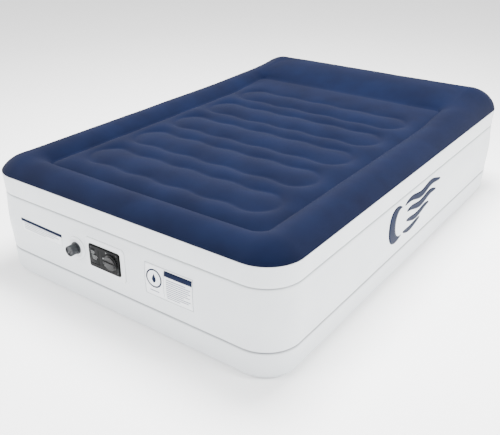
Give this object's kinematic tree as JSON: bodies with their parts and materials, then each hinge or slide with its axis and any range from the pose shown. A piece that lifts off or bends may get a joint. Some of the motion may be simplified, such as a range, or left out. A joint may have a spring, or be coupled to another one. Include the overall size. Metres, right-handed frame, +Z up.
{
  "type": "air mattress",
  "caption": "Raised air bed with a flocked top, wavy welded pods, integrated pillow, built-in pump panel with dial and cord lid, and a manual screw-cap valve.",
  "frame": {"origin": "centre of the whole object's box, on the floor face", "axes": "+Z up, +Y from the foot end with the pump to the pillow end, +X to the side with the emblem"},
  "size_m": [1.3863, 2.083, 0.522],
  "materials": {
    "flocked_pvc": "short navy flock on soft PVC",
    "white_pvc": "soft satin PVC sheet",
    "base_pvc": "matt PVC sheet",
    "inner_pvc": "translucent PVC sheet",
    "printed_film": "printed ink",
    "black_plastic": "fine moulded grain",
    "grey_plastic": "plain moulding",
    "black_rubber": "matt",
    "steel": "bright",
    "black_steel": "black oxide",
    "magnet_ferrite": "matt",
    "bronze": "sintered",
    "wire_red": "wire insulation",
    "valve_plastic": "fine moulded grain"
  },
  "bodies": {
    "airbed": {"top_sheet": "flocked_pvc", "upper_side_wall": "white_pvc", "middle_side_wall": "white_pvc", "lower_side_wall": "white_pvc", "bottom_sheet": "base_pvc", "upper_deck_sheet": "inner_pvc", "lower_deck_sheet": "inner_pvc", "border_web": "inner_pvc", "pillow_web": "inner_pvc", "pod_web_1": "inner_pvc", "pod_web_2": "inner_pvc", "pod_web_3": "inner_pvc", "pod_web_4": "inner_pvc", "pod_web_5": "inner_pvc", "base_web_1": "inner_pvc", "base_web_2": "inner_pvc", "base_web_3": "inner_pvc", "base_web_4": "inner_pvc", "strip_label": "printed_film", "care_label": "printed_film", "side_emblem": "printed_film", "pump_weld_flange": "white_pvc", "pump_gasket": "black_rubber", "pump_tub": "black_plastic", "faceplate": "black_plastic", "faceplate_screws": "black_steel", "vent_grille": "black_plastic", "lid_hinge_pin": "steel", "cord_box": "black_plastic", "cord_gland": "black_rubber", "diverter_sleeve": "grey_plastic", "rotary_switch": "grey_plastic", "fan_cover": "grey_plastic", "fan_scroll": "grey_plastic", "motor_magnets": "magnet_ferrite", "motor_can": "steel", "motor_bushes": "bronze", "motor_screws": "steel", "motor_leads": "wire_red", "check_valve_seat": "grey_plastic", "check_valve_spring": "steel", "valve_weld_flange": "white_pvc", "valve_neck": "valve_plastic", "valve_spring": "steel"},
    "dial": {"dial_knob": "black_plastic", "dial_shaft": "steel", "diverter_drum": "grey_plastic"},
    "lid": {"cord_lid": "black_plastic"},
    "fan_spindle": {"impeller": "grey_plastic", "motor_shaft": "steel", "motor_rotor": "magnet_ferrite"},
    "check_poppet": {"check_valve_poppet": "black_rubber"},
    "air_poppet": {"valve_poppet": "black_rubber"},
    "cap_washer": {"valve_cap_washer": "black_rubber"},
    "cap": {"valve_cap": "valve_plastic"}
  },
  "joints": [
    {"name": "dial_turn", "type": "hinge", "parent": "airbed", "child": "dial", "pos_m": [-0.005, -1.0065, 0.25], "axis": [0, -1, 0], "range_deg": [-45, 45]},
    {"name": "lid_turn", "type": "hinge", "parent": "airbed", "child": "lid", "pos_m": [-0.086, -1.0115, 0.221], "axis": [1, 0, 0], "range_deg": [0, 100]},
    {"name": "fan_spin", "type": "hinge", "parent": "airbed", "child": "fan_spindle", "pos_m": [-0.061, -1.0065, 0.248], "axis": [0, -1, 0], "continuous": true},
    {"name": "check_lift", "type": "slide", "parent": "airbed", "child": "check_poppet", "axis": [0, 1, 0], "range_m": [0, 0.006], "stiffness_N_per_m": 60, "springref_m": -0.004, "deforming": ["check_valve_spring"]},
    {"name": "air_release", "type": "slide", "parent": "airbed", "child": "air_poppet", "axis": [0, 1, 0], "range_m": [0, 0.006], "stiffness_N_per_m": 300, "springref_m": -0.003, "deforming": ["valve_spring"]},
    {"name": "cap_lift", "type": "slide", "parent": "airbed", "child": "cap_washer", "axis": [0, -1, 0], "range_m": [0, 0.01601]},
    {"name": "cap_turn", "type": "hinge", "parent": "cap_washer", "child": "cap", "pos_m": [-0.19, -1.0065, 0.248], "axis": [0, -1, 0], "range_deg": [0, 720]}
  ],
  "couplings": [
    {"joint": "cap_lift", "follows": "cap_turn", "m_per_rad": 0.0012732}
  ]
}
